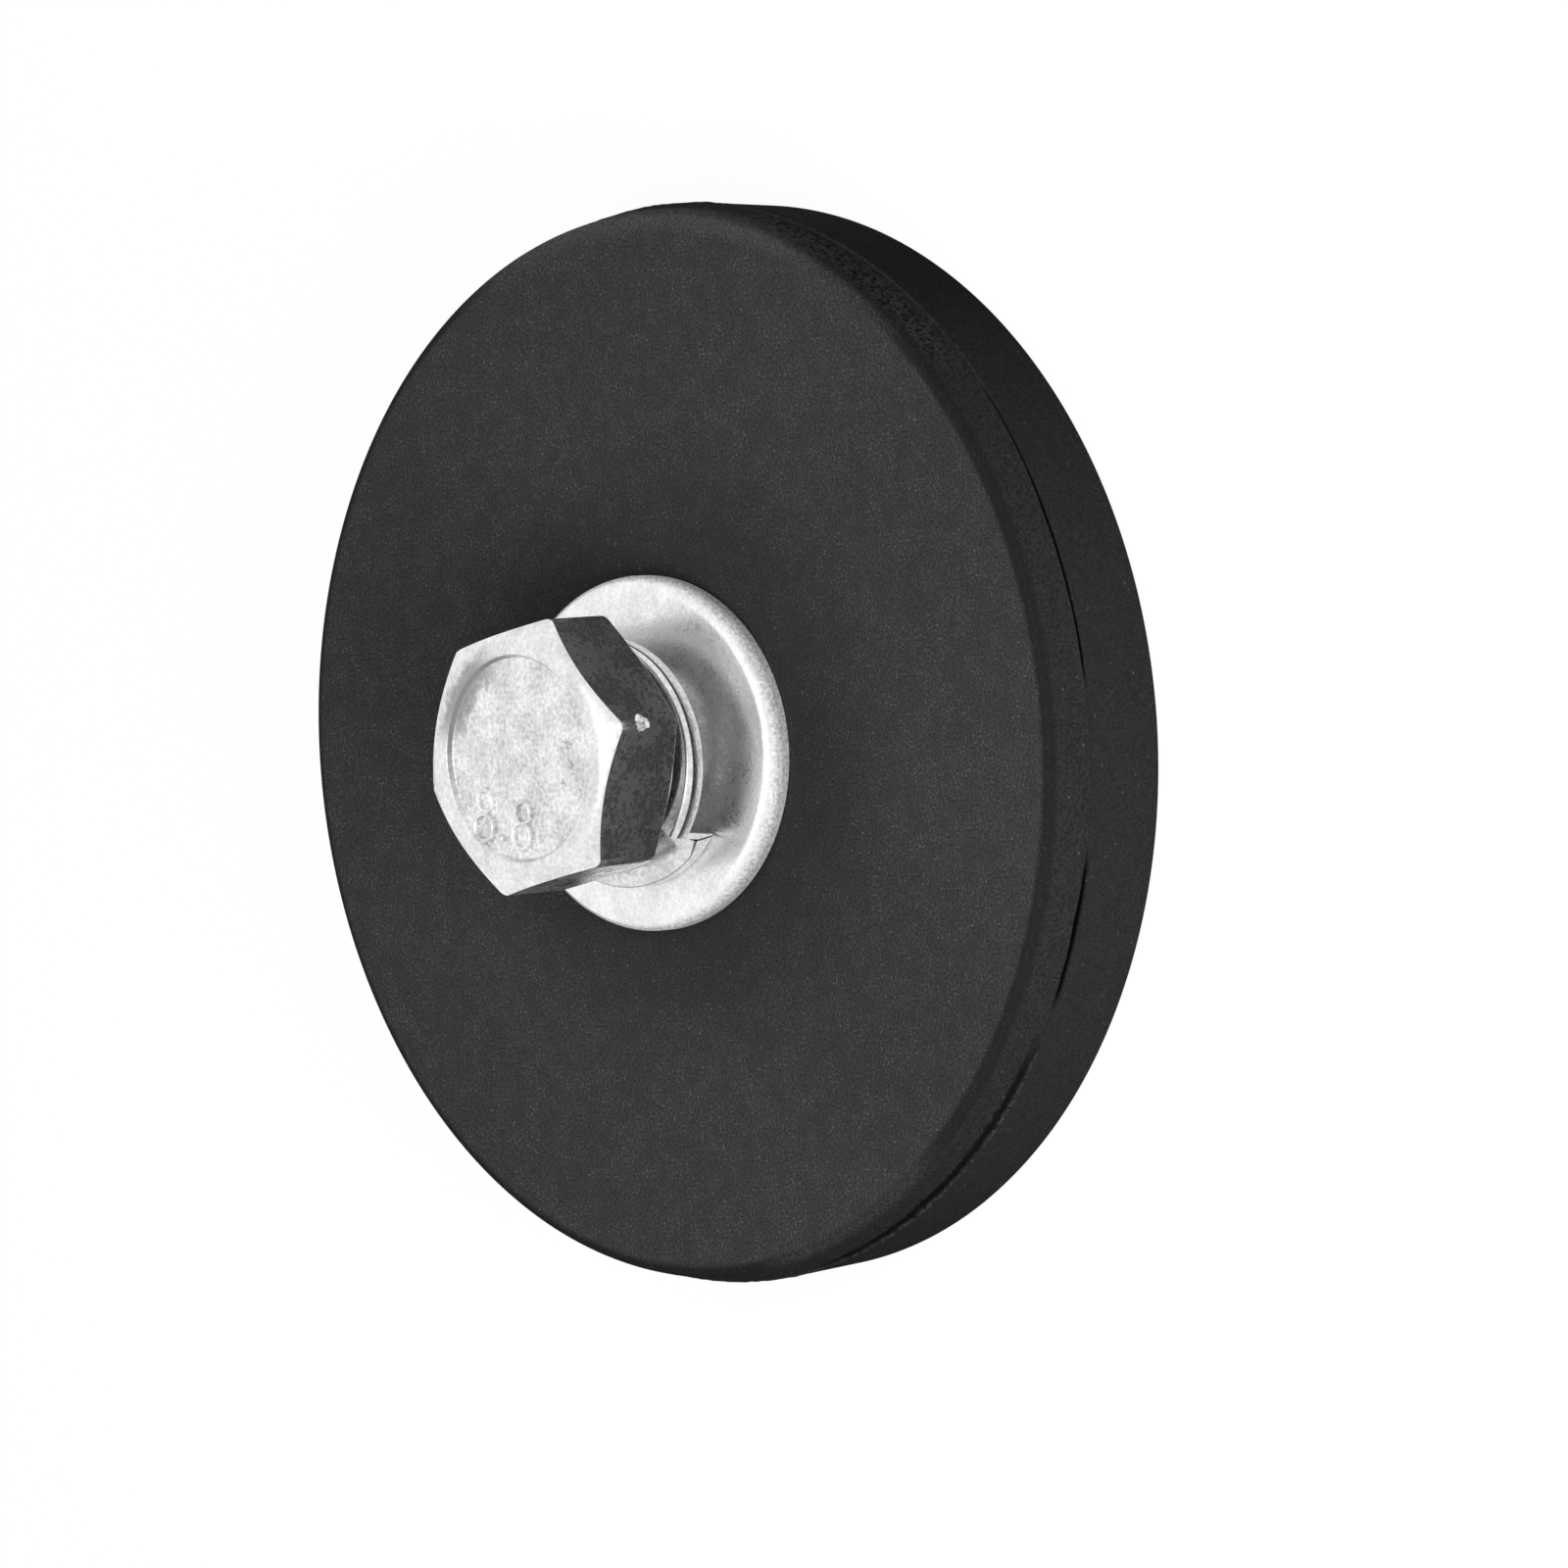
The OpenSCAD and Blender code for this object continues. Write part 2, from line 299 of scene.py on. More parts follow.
FRAYING = (
    (-180, 0.3), (-165, 1.0), (-132, 1.0), (-122, 0.3), (-104, 0.1), (-55, 0.1), (-42, 0.8),
    (-10, 1.0), (2, 0.4), (40, 0.2), (130, 0.2), (150, 0.6), (180, 0.3),
)
NICK_ANGLE = -14
NICK_Z = 2.95
NICK_DEPTH = 0.16


def at_angle(stations, angle):
    """Reads a value at an angle, in degrees, from a list of (angle, value) stations."""
    for (before, low), (after, high) in zip(stations, stations[1:]):
        if before <= angle <= after:
            return low + (high - low) * (angle - before) / (after - before)
    return stations[-1][1]


def tear_lips(radius, height, angle):
    """Moves a point of the rim, given in mm and degrees, to where the torn lip has it."""
    above = height - SEAM_Z
    near = max(0.0, 1.0 - abs(above) / 0.9)
    spot = Vector((math.cos(math.radians(angle)), math.sin(math.radians(angle)), 0)) * SEAM_R
    spot.z = height
    fray = at_angle(FRAYING, angle)
    wander = noise.noise(spot * 0.45) * 0.05 + noise.noise(spot * 1.7) * 0.06 * fray
    if above == 0:
        slit = at_angle(SLIT_WIDTH, angle)
        return SEAM_R - min(GROOVE_DEPTH, 0.06 + 2.2 * slit), height + wander
    side = math.copysign(1.0, above)
    height += wander * near + side * near * near * at_angle(SLIT_WIDTH, angle) / 2
    if above > 0:
        radius -= at_angle(LEDGE_DEPTH, angle) * max(0.0, 1.0 - above / 1.3)
    nick = max(0.0, 1.0 - abs(angle - NICK_ANGLE) / 4) * max(0.0, 1.0 - abs(height - NICK_Z) / 0.25)
    radius -= NICK_DEPTH * math.sqrt(nick)
    rough = noise.noise(spot * 2.6) * 0.6 + noise.noise(spot * 5.5) * 0.4
    return radius + rough * 0.09 * fray * max(0.0, 1.0 - abs(above) / 1.6), height


torn = 0
for vertex in jacket.data.vertices:
    radius = math.hypot(vertex.co.x, vertex.co.y) / MM
    height = round(vertex.co.z / MM, 3)
    if radius > 20.9 and BACK_RINGS[3] <= height <= FRONT_RINGS[-1]:
        angle = math.degrees(math.atan2(vertex.co.y, vertex.co.x))
        new_radius, new_height = tear_lips(radius, height, angle)
        vertex.co.x *= new_radius / radius
        vertex.co.y *= new_radius / radius
        vertex.co.z = new_height * MM
        torn += 1
print("Points moved along the parting line:", torn)

# %% [markdown]
# ## The seat of the loose washers
# The bolt isn't tightened, so both washers hang on it and lean. On the camera's side the flat
# washer's foot touches the rubber, and its far side stands up. Each washer is modelled level, then
# turned on its seat, and the turn is applied to its mesh.

# %% Helper that leans a washer
LEAN = math.radians(6)
LEAN_TURN = math.radians(94)
SEAT_Z = 6.7355


def lean(piece, shift):
    """Lays a level washer on the leaning seat, moved along the seat by a shift in mm."""
    axis = Vector((math.sin(LEAN_TURN), -math.cos(LEAN_TURN), 0))
    turn = Quaternion(axis, LEAN)
    piece.rotation_euler = turn.to_euler()
    piece.location = turn @ (Vector(shift) * MM) + Vector((0, 0, SEAT_Z * MM))
    bpy.ops.object.select_all(action="DESELECT")
    piece.select_set(True)
    bpy.context.view_layer.objects.active = piece
    bpy.ops.object.transform_apply(location=True, rotation=True, scale=True)


# %% [markdown]
# ## The flat washer
# A punch draws the sheet down before it cuts, so the washer's upper edge is rolled over and meets a
# short wall at a sharp line. It is one more turned section, with the roll as an arc of points.

# %% Flat washer
FLAT_R = 7.1
FLAT_T = 0.95
FLAT_HOLE_R = 3.2
FLAT_WALL = 0.42
FLAT_SHIFT = (-0.2066, 0.0498, 0)
ROLL = math.radians(80)
ROLL_STEPS = 10
ROLL_R = (FLAT_T - FLAT_WALL) / (1 - math.cos(ROLL))

washer_outline = [(FLAT_HOLE_R, 0, 0.1), (FLAT_R, 0, 0.03), (FLAT_R, FLAT_WALL, 0.02)]
for step in range(1, ROLL_STEPS + 1):
    slope = ROLL * (1 - step / ROLL_STEPS)
    inward = ROLL_R * (math.sin(ROLL) - math.sin(slope))
    drop = ROLL_R * (1 - math.cos(slope))
    washer_outline.append((FLAT_R - inward, FLAT_T - drop, 0))
washer_outline.append((FLAT_HOLE_R, FLAT_T, 0.3))
washer = turned("punched_washer", washer_outline, 288)
lean(washer, FLAT_SHIFT)
count(washer)

# %% [markdown]
# ## The spring washer
# A spring washer is a flat wire, wound to one turn and cut off, whose ends stand apart while the
# bolt isn't tight. A Screw modifier would give an even climb. This one lies flat at both ends, so
# its section is spun by not quite a full turn, and every point is then lifted by its share of it.
# The wire was cut on a slant, so the section also leans along the turn, and the shears have drawn
# up the tip of the lower end, whose top is also twisted outwards.

# %% Spring washer
SPRING_HOLE_R = 3.5
SPRING_R = 5.02
SPRING_T = 0.9
SPRING_RISE = 1.58
SPRING_START = 230.5
SPRING_TURN = 359.0
SPRING_SLANT = math.radians(14)
TIP_RISE = 0.45
TIP_LENGTH = 0.03
TWIST = math.tan(math.radians(12))
SPRING_SHIFT = (-0.501, 0.2296, 0)

spring = section(
    "split_washer",
    [
        (SPRING_HOLE_R, FLAT_T, 0.18),
        (SPRING_R, FLAT_T, 0.18),
        (SPRING_R, FLAT_T + SPRING_T, 0.3),
        (SPRING_HOLE_R, FLAT_T + SPRING_T, 0.18),
    ],
)
bpy.ops.mesh.select_all(action="SELECT")
bpy.ops.mesh.spin(
    steps=238, angle=math.radians(SPRING_TURN), center=(0, 0, 0), axis=(0, 0, -1)
)
close_up()


def spring_lift(share):
    """How far the wire has climbed, in mm, after a share of its turn."""
    return SPRING_RISE * (share - math.sin(math.tau * share) / math.tau)


slant_arc = math.atan(2 * SPRING_T * math.tan(SPRING_SLANT) / (SPRING_HOLE_R + SPRING_R))
for vertex in spring.data.vertices:
    wound = -math.degrees(math.atan2(vertex.co.y, vertex.co.x)) % 360
    share = (wound if wound < 359.5 else 0) / SPRING_TURN
    up_the_cut = (vertex.co.z / MM - FLAT_T) / SPRING_T
    turn = math.radians(SPRING_START) + slant_arc * (0.5 - up_the_cut)
    x, y = vertex.co.x, vertex.co.y
    vertex.co.x = x * math.cos(turn) - y * math.sin(turn)
    vertex.co.y = x * math.sin(turn) + y * math.cos(turn)
    drawn_up = TIP_RISE * up_the_cut * max(0.0, 1.0 - share / TIP_LENGTH)
    across = math.hypot(x, y) / MM - (SPRING_HOLE_R + SPRING_R) / 2
    twisted = -TWIST * across * up_the_cut * max(0.0, 1.0 - share / 0.3)
    vertex.co.z += (spring_lift(share) + drawn_up + twisted) * MM
lean(spring, SPRING_SHIFT)
count(spring)

# %% [markdown]
# ## The bolt's head
# A bolt head is forged: a hexagon whose corners are rounded, with a cone that cuts its top corners
# and another under it. The hexagon is a filled circle of six vertices, beveled and extruded. The
# cones, the bearing disc and the shallow recess are one turned envelope, and the head is what the
# two share.

# %% Hexagon and envelope
HEAD_H = 4.15
HEAD_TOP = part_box("hex_bolt")[1].z / MM
HEAD_FOOT = HEAD_TOP - HEAD_H
HEAD_ACROSS = 10.0
HEAD_TURN = math.radians(40)
RECESS_Z = HEAD_TOP - 0.22
WIDE = 6.4

bpy.ops.object.select_all(action="DESELECT")
bpy.ops.mesh.primitive_circle_add(
    vertices=6,
    radius=HEAD_ACROSS / math.sqrt(3) * MM,
    fill_type="NGON",
    location=(0, 0, HEAD_FOOT * MM),
    rotation=(0, 0, HEAD_TURN - math.pi / 2),
)
bolt = bpy.context.object
bolt.name = "headed_bolt"
bolt.data.name = "headed_bolt"
bpy.ops.object.transform_apply(location=True, rotation=True, scale=True)
bpy.ops.object.mode_set(mode="EDIT")
bpy.ops.mesh.select_all(action="SELECT")
bpy.ops.mesh.bevel(offset=0.28 * MM, offset_type="OFFSET", segments=4, affect="VERTICES")
bpy.ops.mesh.select_all(action="SELECT")
bpy.ops.mesh.extrude_region_move(TRANSFORM_OT_translate={"value": (0, 0, (HEAD_H + 0.2) * MM)})
close_up()
corner_angles = sorted({round(math.degrees(math.atan2(v.co.y, v.co.x))) for v in bolt.data.vertices})
print("Head corners near angles", corner_angles)

envelope = turned(
    "head_envelope",
    [
        (0, HEAD_FOOT, 0),
        (4.6, HEAD_FOOT, 0.05),
        (4.6, HEAD_FOOT + 0.35, 0.05),
        (WIDE, HEAD_FOOT + 0.35 + (WIDE - 4.6) * math.tan(math.radians(17)), 0),
        (WIDE, HEAD_TOP - (WIDE - 4.75) * math.tan(math.radians(30)), 0),
        (4.75, HEAD_TOP, 0.18),
        (4.12, HEAD_TOP, 0.04),
        (3.96, RECESS_Z, 0.05),
        (0, RECESS_Z, 0),
    ],
    288,
)
combine(bolt, envelope, "INTERSECT")
count(bolt)

# %% [markdown]
# A knock has left a ragged dent on one corner of the head. A small sphere with jittered vertices
# makes a dent with broken facets.

# %% Dent on a corner
DENT_ANGLE = math.radians(-79.2)
DENT_R = 5.78
DENT_Z = 12.5
DENT_SPOT = Vector((DENT_R * math.cos(DENT_ANGLE), DENT_R * math.sin(DENT_ANGLE), DENT_Z)) * MM

bpy.ops.object.select_all(action="DESELECT")
bpy.ops.mesh.primitive_ico_sphere_add(
    subdivisions=3,
    radius=0.4 * MM,
    location=DENT_SPOT,
)
dent = bpy.context.object
bpy.ops.object.transform_apply(location=True, rotation=True, scale=True)
bpy.ops.object.mode_set(mode="EDIT")
bpy.ops.mesh.select_all(action="SELECT")
bpy.ops.transform.vertex_random(offset=0.12 * MM, seed=5)
close_up()
combine(bolt, dent, "DIFFERENCE")
count(bolt)

# %% [markdown]
# Forging and plating round every edge a little. The edges where the flats meet the two cones get a
# bevel weight, and a Bevel modifier that goes by weight softens just those.

# %% Soft edges on the head
bpy.ops.object.select_all(action="DESELECT")
bolt.select_set(True)
bpy.context.view_layer.objects.active = bolt
bpy.ops.object.mode_set(mode="EDIT")


def flat_meets_cone(edge):
    """True for an edge between an upright face and a sloping one, away from the dent."""
    slopes = sorted(abs(face.normal.z) for face in edge.link_faces)
    middle = (edge.verts[0].co + edge.verts[1].co) / 2
    outside = (middle - DENT_SPOT).length > 0.7 * MM
    return outside and len(slopes) == 2 and slopes[0] < 0.02 and slopes[1] > 0.2


weighted = pick(bolt, "EDGE", flat_meets_cone)
bpy.ops.transform.edge_bevelweight(value=1.0)
bpy.ops.object.mode_set(mode="OBJECT")
softened = bolt.modifiers.new("soft_edges", "BEVEL")
softened.width = 0.06 * MM
softened.segments = 2
softened.limit_method = "WEIGHT"
apply_modifier(bolt, softened)
print("Edges softened:", weighted)
count(bolt)

# %% [markdown]
# ## The thread
# A thread is one tooth that climbs round the shank. The Screw modifier turns a tooth's profile and
# lifts it by the pitch at each turn. Two bisect cuts close the ends.

# %% Thread
PITCH = 1.0
THREAD_R = 2.95
ROOT_R = THREAD_R - 0.6134 * PITCH
TIP_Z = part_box("hex_bolt")[0].z / MM
THREAD_TURNS = 10
TOOTH = ((ROOT_R, 0), (ROOT_R, 0.25), (THREAD_R, 0.5625), (THREAD_R, 0.6875), (ROOT_R, 1.0))

thread = section("thread", [(radius, TIP_Z - 1.5 + rise * PITCH, 0) for radius, rise in TOOTH])
pick(thread, "FACE", lambda face: True)
bpy.ops.mesh.delete(type="ONLY_FACE")
pick(thread, "EDGE", lambda edge: edge.calc_length() > 0.9 * PITCH * MM)
bpy.ops.mesh.delete(type="EDGE")
bpy.ops.object.mode_set(mode="OBJECT")
climb = thread.modifiers.new("climb", "SCREW")
climb.angle = math.tau
climb.screw_offset = PITCH * MM
climb.iterations = THREAD_TURNS
climb.steps = 72
climb.render_steps = 72
apply_modifier(thread, climb)
bpy.ops.object.mode_set(mode="EDIT")
close_up()
bpy.ops.object.mode_set(mode="EDIT")
for height, way in ((TIP_Z - 0.3, 1), (HEAD_FOOT - 0.5, -1)):
    bpy.ops.mesh.select_all(action="SELECT")
    bpy.ops.mesh.bisect(
        plane_co=(0, 0, height * MM),
        plane_no=(0, 0, way),
        use_fill=True,
        clear_inner=True,
        threshold=CLOSE / 10,
    )
close_up()
count(thread)

# %% [markdown]
# The tip of a bolt is chamfered, so that it finds its hole. A turned envelope trims the thread to
# that shape, and a short smooth neck leads from the thread into the head.

# %% Shank
shank = turned(
    "shank",
    [
        (0, TIP_Z, 0),
        (THREAD_R - 0.6, TIP_Z, 0),
        (THREAD_R + 0.2, TIP_Z + 0.8, 0),
        (THREAD_R + 0.2, HEAD_FOOT - 0.4, 0),
        (0, HEAD_FOOT - 0.4, 0),
    ],
    96,
)
combine(thread, shank, "INTERSECT")
count(thread)
neck = turned(
    "neck",
    [
        (0, HEAD_FOOT - 0.9, 0),
        (ROOT_R + 0.1, HEAD_FOOT - 0.9, 0),
        (THREAD_R - 0.1, HEAD_FOOT - 0.5, 0),
        (THREAD_R - 0.1, HEAD_FOOT + 0.2, 0),
        (0, HEAD_FOOT + 0.2, 0),
    ],
    96,
)
join(bolt, thread)
join(bolt, neck)
count(bolt)

# %% [markdown]
# ## The strength number
# Bolts of this kind carry a raised strength number, here 8.8, pressed up from the floor of the
# recess. Each figure is two rings. A ring is a torus, stretched upwards and roughened, that is half
# sunk in the floor of the recess, and the dot is a torus without a hole.

# %% Raised number
# Each ring is its place on the recess's floor, its radius and its wire's radius
RINGS = (
    (-1.56, 2.19, 0.42, 0.12),
    (-2.62, 2.36, 0.52, 0.12),
    (-2.14, 0.07, 0.42, 0.12),
    (-3.05, 0.22, 0.5, 0.12),
    (-3.08, 1.33, 0.02, 0.15),
)

for across, along, ring_r, wire_r in RINGS:
    bpy.ops.object.select_all(action="DESELECT")
    bpy.ops.mesh.primitive_torus_add(
        major_segments=32,
        minor_segments=12,
        major_radius=ring_r * MM,
        minor_radius=wire_r * MM,
        location=(across * MM, along * MM, RECESS_Z * MM),
    )
    figure = bpy.context.object
    bpy.ops.object.transform_apply(location=True, rotation=True, scale=True)
    bpy.ops.object.mode_set(mode="EDIT")
    bpy.ops.mesh.select_all(action="SELECT")
    bpy.ops.transform.resize(value=(1, 1, 1.5), center_override=(0, 0, RECESS_Z * MM))
    bpy.ops.transform.vertex_random(offset=0.012 * MM, seed=3)
    close_up()
    join(bolt, figure)
count(bolt)

# %% [markdown]
# ## Node helpers
# The finishes are built in code, so three small helpers place a node, do a sum and fade a value
# between two limits. Each input is either a plain value or the output of another node.

# %% Helpers for shader nodes
def place(tree, kind, sockets=(), **settings):
    """Adds a node. Sockets pairs each input's name or number with a value or an output."""
    node = tree.nodes.new(kind)
    for name, value in settings.items():
        setattr(node, name, value)
    for name, value in dict(sockets).items():
        if isinstance(value, bpy.types.NodeSocket):
            tree.links.new(value, node.inputs[name])
        else:
            node.inputs[name].default_value = value
    return node


def maths(tree, operation, *values):
    """One Math node, and its result."""
    return place(tree, "ShaderNodeMath", enumerate(values), operation=operation).outputs[0]


def fade(tree, value, low, high, start=0.0, end=1.0):
    """Goes smoothly from start to end while the value goes from low to high."""
    sockets = {0: value, 1: low, 2: high, 3: start, 4: end}
    return place(tree, "ShaderNodeMapRange", sockets, interpolation_type="SMOOTHSTEP").outputs[0]


# %% [markdown]
# ## Shared effects
# Rubber and plated steel share three effects at different sizes: a fine grain, scattered specks
# and wear along a round edge. Each is a node group with its own inputs, built once. The edge group
# measures how far a point is from a ring of a given radius and height.

# %% Groups for grain, specks and round edges
def new_group(name, inputs, outputs):
    """A node group with named sockets. An input is (name, kind, start value)."""
    group = bpy.data.node_groups.new(name, "ShaderNodeTree")
    for label, kind, value in inputs:
        socket = group.interface.new_socket(label, in_out="INPUT", socket_type=kind)
        if kind == "NodeSocketFloat":
            socket.default_value = value
    for label in outputs:
        group.interface.new_socket(label, in_out="OUTPUT", socket_type="NodeSocketFloat")
    return group, group.nodes.new("NodeGroupInput"), group.nodes.new("NodeGroupOutput")


def use(tree, group, **values):
    """Places a group in a tree, with its inputs by name."""
    node = place(tree, "ShaderNodeGroup", node_tree=group)
    for name, value in values.items():
        socket = node.inputs[name.replace("_", " ")]
        if isinstance(value, bpy.types.NodeSocket):
            tree.links.new(value, socket)
        else:
            socket.default_value = value
    return node


VECTOR = ("Vector", "NodeSocketVector", None)

grain, entry, leave = new_group(
    "grain", [VECTOR, ("Scale", "NodeSocketFloat", 5000)], ["Fine", "Broad"]
)
fine = place(grain, "ShaderNodeTexNoise", {0: entry.outputs[0], 2: entry.outputs[1], 3: 2, 4: 0.6})
wide = maths(grain, "MULTIPLY", entry.outputs[1], 0.13)
broad = place(grain, "ShaderNodeTexNoise", {0: entry.outputs[0], 2: wide, 3: 3, 4: 0.6})
grain.links.new(fine.outputs[0], leave.inputs[0])
grain.links.new(broad.outputs[0], leave.inputs[1])

specks, entry, leave = new_group(
    "specks",
    [VECTOR, ("Scale", "NodeSocketFloat", 3000), ("Share", "NodeSocketFloat", 0.1)],
    ["Mask"],
)
cells = place(specks, "ShaderNodeTexVoronoi", {0: entry.outputs[0], 2: entry.outputs[1]})
lot = place(specks, "ShaderNodeSeparateColor", {0: cells.outputs[1]}).outputs[0]
drawn = maths(specks, "LESS_THAN", lot, entry.outputs[2])
dot = fade(specks, cells.outputs[0], 0.18, 0.34, 1.0, 0.0)
specks.links.new(maths(specks, "MULTIPLY", drawn, dot), leave.inputs[0])

edge, entry, leave = new_group(
    "round_edge",
    [
        VECTOR,
        ("Radius", "NodeSocketFloat", 0.02),
        ("Height", "NodeSocketFloat", 0.0),
        ("Reach", "NodeSocketFloat", 0.0003),
        ("Ragged", "NodeSocketFloat", 0.0),
    ],
    ["Mask"],
)
axes = place(edge, "ShaderNodeSeparateXYZ", {0: entry.outputs[0]})
squares = [maths(edge, "MULTIPLY", axes.outputs[i], axes.outputs[i]) for i in (0, 1)]
from_axis = maths(edge, "SQRT", maths(edge, "ADD", *squares))
outward = maths(edge, "SUBTRACT", from_axis, entry.outputs[1])
upward = maths(edge, "SUBTRACT", axes.outputs[2], entry.outputs[2])
squares = [maths(edge, "POWER", part, 2) for part in (outward, upward)]
away = maths(edge, "SQRT", maths(edge, "ADD", *squares))
frayed = place(edge, "ShaderNodeTexNoise", {0: entry.outputs[0], 2: 2600, 3: 4, 4: 0.65}).outputs[0]
shift = maths(edge, "MULTIPLY", maths(edge, "SUBTRACT", frayed, 0.5), entry.outputs[4])
moved = maths(edge, "ADD", away, shift)
edge.links.new(
    fade(edge, maths(edge, "DIVIDE", moved, entry.outputs[3]), 0.3, 1.0, 1.0, 0.0), leave.inputs[0]
)
print("Groups:", [group.name for group in bpy.data.node_groups])

# %% [markdown]
# ## Black rubber
# Moulded rubber is dark grey, without gloss, and grainy like fine sandpaper on its front face.
# Masks tell its zones apart. An arc is a range of angles about the axis, and a ring is what lies
# near a circle about the axis.

# %% Rubber finish and its masks
def new_finish(name):
    """A material with its tree, its shader and its object coordinates."""
    finish = bpy.data.materials.new(name)
    finish.use_nodes = True
    tree = finish.node_tree
    where = place(tree, "ShaderNodeTexCoord").outputs["Object"]
    return finish, tree, tree.nodes["Principled BSDF"], where


rubber, tree, shader, where = new_finish("black_rubber")
axes = place(tree, "ShaderNodeSeparateXYZ", {0: where})
turn = maths(tree, "ARCTAN2", axes.outputs[1], axes.outputs[0])
sandy = use(tree, grain, Vector=where, Scale=9500)
dust = use(tree, specks, Vector=where, Scale=4600, Share=0.025).outputs[0]


def arc(middle, inner, outer):
    """A mask of the angles about the axis near a middle one, all in degrees."""
    off = maths(tree, "ABSOLUTE", maths(tree, "SUBTRACT", turn, math.radians(middle)))
    return fade(tree, off, math.radians(inner), math.radians(outer), 1.0, 0.0)


def ring(radius, height, reach, ragged):
    """A mask of the points near a ring about the axis, all in mm."""
    sizes = {"Radius": radius * MM, "Height": height * MM, "Reach": reach * MM, "Ragged": ragged * MM}
    return use(tree, edge, Vector=where, **sizes).outputs[0]


def axis_distance(tree, where, shift=(0, 0, 0)):
    """How far a point is from an upright axis through a shift in mm."""
    middle = tuple(-part * MM for part in shift)
    level = place(tree, "ShaderNodeMapping", {"Vector": where, "Location": middle, "Scale": (1, 1, 0)})
    return place(tree, "ShaderNodeVectorMath", {0: level.outputs[0]}, operation="LENGTH").outputs[1]


print(rubber.name, "starts with", len(tree.nodes), "nodes")

# %% [markdown]
# The front face is the palest zone, with light flecks in its grain. Round the washer it is darkened
# with painted shade. The two bands of the rim are smoother, and the rounded front edge is painted
# nearly black as shade, less so near the top. A little pale dust lies on everything.

# %% Tone of the rubber
def tint(tree, factor, under, over, blend_type="MIX"):
    """Lays one colour over another by a mask."""
    sockets = {0: factor, 6: under, 7: over}
    mix = place(tree, "ShaderNodeMix", sockets, data_type="RGBA", blend_type=blend_type)
    return mix.outputs[2]


def grey(level):
    """A neutral colour."""
    return (level, level, level, 1)


front = fade(tree, axes.outputs[2], 5.7 * MM, 5.97 * MM)
front_band = fade(tree, axes.outputs[2], 4.15 * MM, 4.3 * MM)
patches = fade(tree, sandy.outputs[1], 0.38, 0.62, 0.35, 1.0)
flecks = maths(tree, "MULTIPLY", fade(tree, sandy.outputs[0], 0.59, 0.72), patches)
face_tone = tint(tree, fade(tree, sandy.outputs[0], 0.3, 0.6), grey(0.034), grey(0.062))
face_tone = tint(tree, flecks, face_tone, grey(0.17))
# Painted shade: the face is darkened round the washer.
painted_shade_round_washer = fade(tree, axis_distance(tree, where), 7 * MM, 14 * MM, 0.5, 0.0)
face_tone = tint(tree, painted_shade_round_washer, face_tone, grey(0.02))
back_tone = tint(tree, fade(tree, sandy.outputs[0], 0.3, 0.7), grey(0.023), grey(0.042))
front_tone = tint(tree, fade(tree, sandy.outputs[0], 0.3, 0.7), grey(0.018), grey(0.042))
tone = tint(tree, front_band, back_tone, front_tone)
tone = tint(tree, front, tone, face_tone)
tone = tint(tree, fade(tree, sandy.outputs[1], 0.35, 0.65, 0.2, 0.0), tone, grey(0.02))
tone = tint(tree, maths(tree, "MULTIPLY", dust, 0.5), tone, (0.16, 0.13, 0.115, 1))
# Painted shade on the rounded front edge, weaker near the top.
edge_shade_weight = fade(tree, arc(-8, 24, 44), 0, 1, 0.8, 0.1)
painted_edge_shade = maths(tree, "MULTIPLY", ring(21.13, 5.87, 0.42, 0.12), edge_shade_weight)
tone = tint(tree, painted_edge_shade, tone, grey(0.013))
print(rubber.name, "has", len(tree.nodes), "nodes with its plain tone")

# %% [markdown]
# Along some stretches the rubber is torn. There the front edge is pale and rough, with a painted
# highlight, and the band below it is crumbled, with painted shade in its pits. The lips of the
# parting line get a painted highlight, and a painted shadow lies over the torn ledge. Where the slit
# gapes, it is painted black inside as shade, and the groove is painted dark all round as shade. Each
# of these is a ring about the axis, cut off to an arc, save the shade of the groove.

# %% Torn stretches of the rubber
coarse = place(tree, "ShaderNodeTexNoise", {0: where, 2: 5200, 3: 4, 4: 0.7}).outputs[0]
# Pale bits of torn rubber. The same mask breaks up the painted highlight on the lips.
crumb_and_glint_mask = fade(tree, coarse, 0.44, 0.62)
# Painted shade in the pits of the crumbled rubber.
hollow_shade = fade(tree, coarse, 0.42, 0.5, 0.8, 0.0)

# Frayed pale rubber with a painted highlight on the front edge, at the top and at the foot.
pale_and_highlight_top = maths(tree, "MULTIPLY", ring(21.2, 5.6, 0.95, 0.3), arc(-4, 14, 30))
pale_and_highlight_foot = maths(tree, "MULTIPLY", ring(21.1, 5.85, 0.45, 0.3), arc(-156, 9, 18))
pale = maths(tree, "MAXIMUM", pale_and_highlight_top, maths(tree, "MULTIPLY", pale_and_highlight_foot, 0.45))
pale = maths(tree, "MULTIPLY", pale, fade(tree, sandy.outputs[0], 0.35, 0.65, 0.25, 1.0))
tone = tint(tree, maths(tree, "MULTIPLY", pale, 0.85), tone, grey(0.1))
crumbled = maths(tree, "MULTIPLY", ring(21.45, 4.95, 0.9, 0.3), arc(-32, 12, 22))
tone = tint(tree, maths(tree, "MULTIPLY", crumbled, hollow_shade), tone, grey(0.008))
tone = tint(tree, maths(tree, "MULTIPLY", crumbled, crumb_and_glint_mask), tone, grey(0.06))
# Painted shadow over the torn ledge.
ledge_shadow = maths(tree, "MULTIPLY", ring(21.6, 4.3, 0.3, 0.5), arc(-146, 16, 24))
tone = tint(tree, maths(tree, "MULTIPLY", ledge_shadow, 0.9), tone, grey(0.006))
